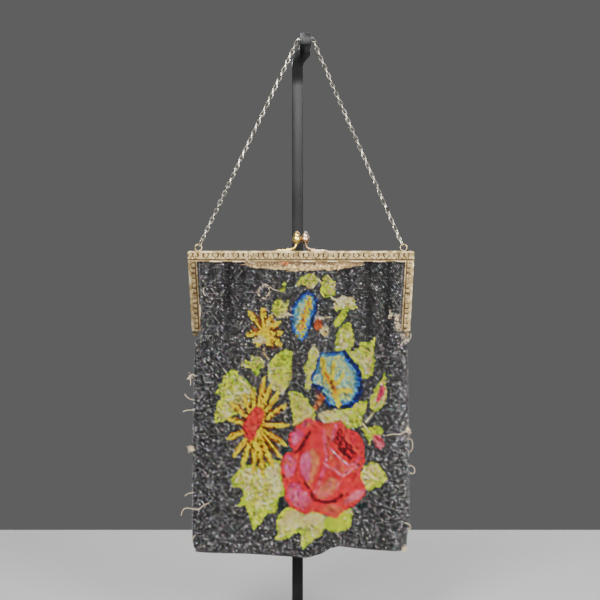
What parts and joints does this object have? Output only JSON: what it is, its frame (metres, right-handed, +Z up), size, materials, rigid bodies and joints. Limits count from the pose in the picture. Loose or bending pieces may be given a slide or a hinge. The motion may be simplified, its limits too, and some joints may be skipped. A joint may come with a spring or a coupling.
{
  "type": "beaded flapper purse on a display stand",
  "caption": "Flat beaded evening purse with a square brass kiss-clasp frame, hung by its chain from a plain black steel stand.",
  "frame": {"origin": "on the ground, under the middle of the object's bounding box", "axes": "+X to the right as the front is seen, +Y away from the viewer towards the post, +Z up"},
  "size_m": [0.1898, 0.13, 0.498],
  "materials": {
    "antique_brass": "worn antique gold with dark recesses",
    "bright_brass": "polished yellow brass",
    "rose_brass": "polished, pinkish",
    "bead_cloth": "charcoal glass seed beads with a floral bouquet",
    "cream_tape": "aged cream cotton",
    "nickel": "nickel plate, worn",
    "black_steel": "black satin"
  },
  "bodies": {
    "root": {"frame_front": "antique_brass", "frame_back": "antique_brass", "hinge_pin_left": "antique_brass", "hinge_pin_right": "antique_brass", "clasp_left": "bright_brass", "clasp_right": "rose_brass", "beaded_bag": "bead_cloth", "header_tape": "cream_tape", "end_link_left": "nickel", "end_link_right": "nickel", "chain": "nickel", "stand_post": "black_steel", "stand_base": "black_steel"}
  },
  "joints": []
}
